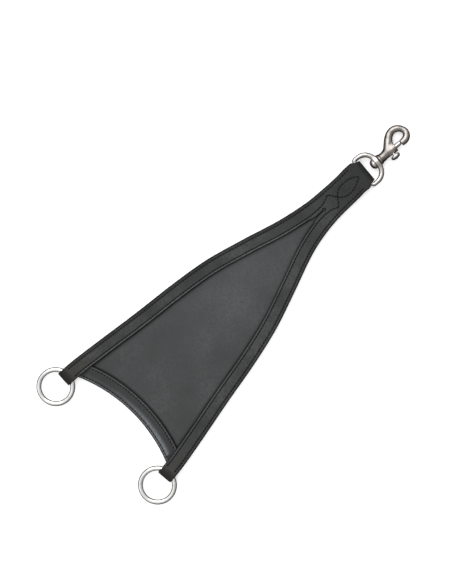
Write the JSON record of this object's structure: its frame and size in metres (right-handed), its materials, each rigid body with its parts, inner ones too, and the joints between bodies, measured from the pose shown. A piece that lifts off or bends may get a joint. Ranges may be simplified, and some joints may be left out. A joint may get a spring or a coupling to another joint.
{
  "type": "martingale",
  "caption": "Split leather strap with a centre panel between its legs, a round ring at each leg and a swivel bolt snap at the neck.",
  "frame": {"origin": "middle of the whole object's box in plan, on the surface that it lies on", "axes": "+Y along the object's length from the rings towards the snap, +X towards the side of the thumb knob, +Z out of the front face"},
  "size_m": [0.1842, 0.4586, 0.0118],
  "materials": {
    "strap_leather": "black bridle leather, fine grain, semi-matt",
    "lining_leather": "black strap leather, matt back",
    "panel_leather": "smooth dark grey-black panel leather, soft sheen",
    "hem_leather": "black leather, smooth, semi-gloss",
    "thread": "waxed black thread",
    "ring_metal": "polished nickel plate",
    "snap_metal": "satin nickel plate on a casting",
    "bolt_metal": "satin nickel plate",
    "spring_wire": "drawn spring wire"
  },
  "bodies": {
    "leather": {"yoke_strap": "strap_leather", "yoke_lining": "lining_leather", "bib_panel": "panel_leather", "hem_strip": "hem_leather", "left_outer_seam_needle_thread": "thread", "left_outer_seam_bobbin_thread": "thread", "right_outer_seam_needle_thread": "thread", "right_outer_seam_bobbin_thread": "thread", "ribbon_seam_needle_thread": "thread", "ribbon_seam_bobbin_thread": "thread", "hem_upper_seam_needle_thread": "thread", "hem_upper_seam_bobbin_thread": "thread", "hem_lower_seam_needle_thread": "thread", "hem_lower_seam_bobbin_thread": "thread"},
    "left_ring": {"ring_left": "ring_metal"},
    "right_ring": {"ring_right": "ring_metal"},
    "eye": {"swivel_eye": "snap_metal"},
    "snap": {"snap_body": "snap_metal", "swivel_post": "snap_metal", "bolt_spring": "spring_wire"},
    "bolt": {"bolt": "bolt_metal", "thumb_knob": "bolt_metal"}
  },
  "joints": [
    {"name": "left_ring_swing", "type": "hinge", "parent": "leather", "child": "left_ring", "pos_m": [-0.07122, -0.19322, 0.0057], "axis": [-0.9979, 0.0644, 0], "range_deg": [-135, 150]},
    {"name": "right_ring_swing", "type": "hinge", "parent": "leather", "child": "right_ring", "pos_m": [0.0712, -0.19322, 0.0057], "axis": [-0.9979, -0.0645, 0], "range_deg": [-135, 150]},
    {"name": "eye_swing", "type": "hinge", "parent": "leather", "child": "eye", "pos_m": [0.0015, 0.1654, 0.0057], "axis": [0.9942, -0.108, 0], "range_deg": [-90, 90]},
    {"name": "snap_swivel", "type": "hinge", "parent": "eye", "child": "snap", "pos_m": [0.0015, 0.1654, 0.0057], "axis": [0.108, 0.9942, 0], "continuous": true},
    {"name": "bolt_slide", "type": "slide", "parent": "snap", "child": "bolt", "axis": [-0.108, -0.9942, 0], "range_m": [0, 0.0072], "stiffness_N_per_m": 450, "springref_m": -0.004, "deforming": ["bolt_spring"]}
  ]
}
